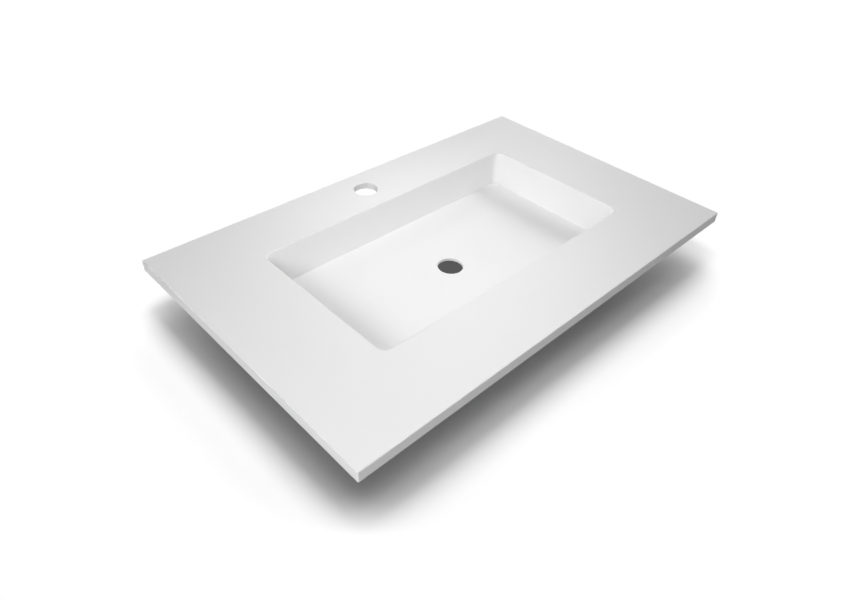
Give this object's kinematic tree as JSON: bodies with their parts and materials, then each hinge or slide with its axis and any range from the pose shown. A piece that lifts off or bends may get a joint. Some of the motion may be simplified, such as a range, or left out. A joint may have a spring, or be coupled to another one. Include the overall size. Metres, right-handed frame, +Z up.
{
  "type": "inset basin",
  "caption": "Thin rectangular washtop of matt mineral sheet with a shallow rectangular basin let into it, a tap hole near the wall edge and an open drain hole.",
  "frame": {"origin": "middle of the washtop's outline, at the underside of the basin floor", "axes": "+X along the front edge to the right, +Y from the front edge to the wall edge, +Z up"},
  "size_m": [0.8, 0.5, 0.08],
  "materials": {
    "mineral_sheet": "matte",
    "brass_insert": "satin"
  },
  "bodies": {
    "root": {"basin_corner_back_left": "mineral_sheet", "basin_corner_back_right": "mineral_sheet", "basin_corner_front_left": "mineral_sheet", "basin_corner_front_right": "mineral_sheet", "basin_floor": "mineral_sheet", "basin_wall_back": "mineral_sheet", "basin_wall_front": "mineral_sheet", "basin_wall_left": "mineral_sheet", "basin_wall_right": "mineral_sheet", "brace_back": "mineral_sheet", "brace_front": "mineral_sheet", "brace_left": "mineral_sheet", "brace_right": "mineral_sheet", "bracket_rail_left": "mineral_sheet", "bracket_rail_right": "mineral_sheet", "deck_sheet": "mineral_sheet", "edge_strip_back": "mineral_sheet", "edge_strip_front": "mineral_sheet", "edge_strip_left": "mineral_sheet", "edge_strip_right": "mineral_sheet", "threaded_insert_back_left": "brass_insert", "threaded_insert_back_right": "brass_insert", "threaded_insert_front_left": "brass_insert", "threaded_insert_front_right": "brass_insert"}
  },
  "joints": []
}
